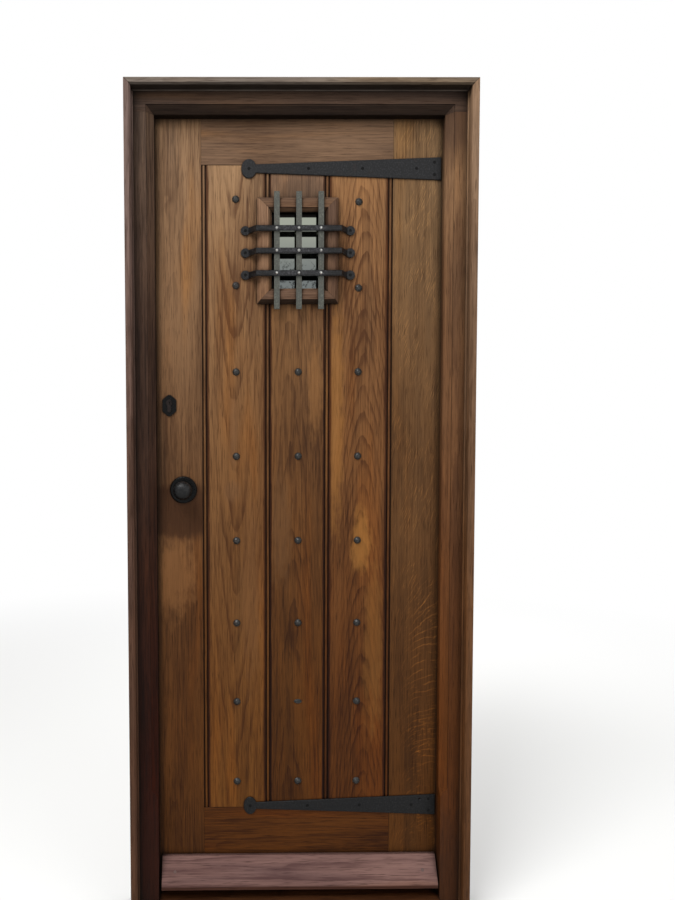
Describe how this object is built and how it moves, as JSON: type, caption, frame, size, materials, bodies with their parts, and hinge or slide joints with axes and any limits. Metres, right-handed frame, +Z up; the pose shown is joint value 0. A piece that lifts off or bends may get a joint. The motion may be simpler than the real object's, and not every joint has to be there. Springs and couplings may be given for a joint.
{
  "type": "boarded entrance door with frame",
  "caption": "Rectangular boarded oak entrance door in its rebated frame, with a barred window, forged strap ornaments, domed studs, a knob latch and a cylinder deadlock.",
  "frame": {"origin": "middle of the frame's width, on the underside of the sill, in the plane of the leaf's outer face", "axes": "+X to the right seen from outside, towards the hinges; +Y inwards, into the room; +Z up"},
  "size_m": [0.878, 0.189, 2.14],
  "materials": {
    "frame_oak": "matt",
    "sill_oak": "matt",
    "trim_oak": "matt",
    "leaf_oak": "matt",
    "board_oak": "matt",
    "window_oak": "matt",
    "weatherboard_oak": "matt",
    "forged_iron": "satin",
    "grille_iron": "satin",
    "rivet_steel": "satin",
    "fitting_steel": "satin",
    "cylinder_brass": "satin",
    "seal_rubber": "matt",
    "pane_glass": "clear",
    "spacer_aluminium": "satin"
  },
  "bodies": {
    "frame": {"frame_head": "frame_oak", "lock_jamb": "frame_oak", "hinge_jamb": "frame_oak", "sill": "sill_oak", "trim_head": "trim_oak", "trim_lock_side": "trim_oak", "trim_hinge_side": "trim_oak", "weather_seals": "seal_rubber", "latch_strike": "fitting_steel", "deadbolt_strike": "fitting_steel", "steel_screws_frame": "fitting_steel", "hinge_frame_halves": "fitting_steel", "hinge_pins": "fitting_steel"},
    "leaf": {"lock_stile": "leaf_oak", "hinge_stile": "leaf_oak", "top_rail": "leaf_oak", "bottom_rail": "leaf_oak", "upper_ledge": "leaf_oak", "window_ledge": "leaf_oak", "middle_ledge": "leaf_oak", "lower_ledge": "leaf_oak", "board_lock_side": "board_oak", "board_middle_upper": "board_oak", "board_middle_lower": "board_oak", "board_hinge_side": "board_oak", "window_lining": "window_oak", "glazing_beads": "window_oak", "window_moulding_top": "window_oak", "window_moulding_bottom": "window_oak", "window_moulding_lock_side": "window_oak", "window_moulding_hinge_side": "window_oak", "weatherboard": "weatherboard_oak", "strap_top": "forged_iron", "strap_bottom": "forged_iron", "studs": "forged_iron", "black_screws": "forged_iron", "outer_rose": "forged_iron", "inner_rose": "forged_iron", "outer_escutcheon": "forged_iron", "inner_escutcheon": "forged_iron", "grille_bar_top": "grille_iron", "grille_bar_middle": "grille_iron", "grille_bar_bottom": "grille_iron", "grille_uprights": "grille_iron", "grille_rivets": "rivet_steel", "hinge_leaf_halves": "fitting_steel", "steel_screws_leaf": "fitting_steel", "latch_case": "fitting_steel", "deadlock_case": "fitting_steel", "lock_cylinder": "cylinder_brass", "outer_pane": "pane_glass", "inner_pane": "pane_glass", "pane_spacer": "spacer_aluminium"},
    "knob": {"outer_knob": "forged_iron", "inner_knob": "forged_iron", "knob_spindle": "fitting_steel", "latch_hub": "fitting_steel"},
    "latch_bolt": {"latch_bolt": "fitting_steel"},
    "cylinder_core": {"cylinder_plug": "cylinder_brass"},
    "deadbolt": {"deadbolt": "fitting_steel"}
  },
  "joints": [
    {"name": "door_swing", "type": "hinge", "parent": "frame", "child": "leaf", "pos_m": [0.3825, 0.06, 1.066], "axis": [0, 0, -1], "range_deg": [0, 95]},
    {"name": "knob_turn", "type": "hinge", "parent": "leaf", "child": "knob", "pos_m": [-0.301, 0, 1.1205], "axis": [0, 1, 0], "range_deg": [0, 60]},
    {"name": "latch_slide", "type": "slide", "parent": "leaf", "child": "latch_bolt", "axis": [-1, 0, 0], "range_m": [0, 0.012]},
    {"name": "cylinder_turn", "type": "hinge", "parent": "leaf", "child": "cylinder_core", "pos_m": [-0.3364, 0, 1.3475], "axis": [0, 1, 0], "range_deg": [0, 360]},
    {"name": "deadbolt_slide", "type": "slide", "parent": "leaf", "child": "deadbolt", "axis": [-1, 0, 0], "range_m": [0, 0.02]}
  ],
  "couplings": [
    {"joint": "latch_slide", "follows": "knob_turn", "m_per_rad": 0.01145},
    {"joint": "cylinder_turn", "follows": "deadbolt_slide", "rad_per_m": 314.15}
  ]
}
